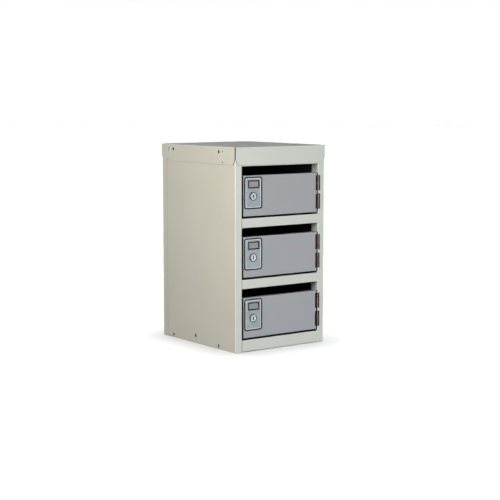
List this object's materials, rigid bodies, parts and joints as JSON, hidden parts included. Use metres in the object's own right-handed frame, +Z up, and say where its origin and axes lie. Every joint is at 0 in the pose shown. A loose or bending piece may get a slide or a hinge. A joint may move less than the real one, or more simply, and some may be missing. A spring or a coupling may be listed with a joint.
{
  "type": "phone charging locker",
  "caption": "Small free-standing steel locker with stacked hinged key-lock doors, an open slot above each door, and a USB charging outlet in each compartment.",
  "frame": {"origin": "on the floor, under the middle of the overall box", "axes": "+Z up, the doors face -Y, +X to the right seen from the front"},
  "size_m": [0.334, 0.395, 0.6],
  "materials": {
    "body_paint": "putty powder coat, satin",
    "door_paint": "mid grey powder coat, satin",
    "dark_lining": "black matt paint",
    "zinc": "zinc-plated steel, dulled",
    "hinge_steel": "dark browned steel",
    "satin_steel": "satin plated plate",
    "chrome": "polished plating",
    "black_plastic": "moulded black plastic",
    "card": "blank pale card",
    "cable_jacket": "black cable jacket"
  },
  "bodies": {
    "root": {"left_side_panel": "body_paint", "right_side_panel": "body_paint", "back_panel": "body_paint", "base_tray": "body_paint", "upper_shelf": "body_paint", "lower_shelf": "body_paint", "header_rail": "body_paint", "top_cap": "body_paint", "rear_partition": "dark_lining", "power_supply": "black_plastic", "mains_inlet": "black_plastic", "inlet_lead": "cable_jacket", "charge_lead_1": "cable_jacket", "charge_lead_2": "cable_jacket", "charge_lead_3": "cable_jacket", "charge_socket_1": "black_plastic", "frame_hinge_leaf_1_lower": "hinge_steel", "hinge_pin_1_lower": "hinge_steel", "frame_hinge_leaf_1_upper": "hinge_steel", "hinge_pin_1_upper": "hinge_steel", "charge_socket_2": "black_plastic", "frame_hinge_leaf_2_lower": "hinge_steel", "hinge_pin_2_lower": "hinge_steel", "frame_hinge_leaf_2_upper": "hinge_steel", "hinge_pin_2_upper": "hinge_steel", "charge_socket_3": "black_plastic", "frame_hinge_leaf_3_lower": "hinge_steel", "hinge_pin_3_lower": "hinge_steel", "frame_hinge_leaf_3_upper": "hinge_steel", "hinge_pin_3_upper": "hinge_steel"},
    "door_1": {"door_1": "door_paint", "lock_plate_1": "satin_steel", "label_bezel_1": "black_plastic", "label_card_1": "card", "lock_housing_1": "chrome", "lock_nut_1": "zinc", "door_hinge_leaf_1_lower": "hinge_steel", "door_hinge_leaf_1_upper": "hinge_steel"},
    "lock_1": {"lock_plug_1": "chrome", "lock_cam_1": "zinc"},
    "door_2": {"door_2": "door_paint", "lock_plate_2": "satin_steel", "label_bezel_2": "black_plastic", "label_card_2": "card", "lock_housing_2": "chrome", "lock_nut_2": "zinc", "door_hinge_leaf_2_lower": "hinge_steel", "door_hinge_leaf_2_upper": "hinge_steel"},
    "lock_2": {"lock_plug_2": "chrome", "lock_cam_2": "zinc"},
    "door_3": {"door_3": "door_paint", "lock_plate_3": "satin_steel", "label_bezel_3": "black_plastic", "label_card_3": "card", "lock_housing_3": "chrome", "lock_nut_3": "zinc", "door_hinge_leaf_3_lower": "hinge_steel", "door_hinge_leaf_3_upper": "hinge_steel"},
    "lock_3": {"lock_plug_3": "chrome", "lock_cam_3": "zinc"}
  },
  "joints": [
    {"name": "door_1_swing", "type": "hinge", "parent": "root", "child": "door_1", "pos_m": [0.1398, -0.1925, 0.4582], "axis": [0, 0, 1], "range_deg": [0, 165]},
    {"name": "lock_1_turn", "type": "hinge", "parent": "door_1", "child": "lock_1", "pos_m": [-0.1026, -0.1925, 0.4567], "axis": [0, 1, 0], "range_deg": [0, 90]},
    {"name": "door_2_swing", "type": "hinge", "parent": "root", "child": "door_2", "pos_m": [0.1398, -0.1925, 0.2792], "axis": [0, 0, 1], "range_deg": [0, 165]},
    {"name": "lock_2_turn", "type": "hinge", "parent": "door_2", "child": "lock_2", "pos_m": [-0.1026, -0.1925, 0.2777], "axis": [0, 1, 0], "range_deg": [0, 90]},
    {"name": "door_3_swing", "type": "hinge", "parent": "root", "child": "door_3", "pos_m": [0.1398, -0.1925, 0.1002], "axis": [0, 0, 1], "range_deg": [0, 165]},
    {"name": "lock_3_turn", "type": "hinge", "parent": "door_3", "child": "lock_3", "pos_m": [-0.1026, -0.1925, 0.0987], "axis": [0, 1, 0], "range_deg": [0, 90]}
  ]
}
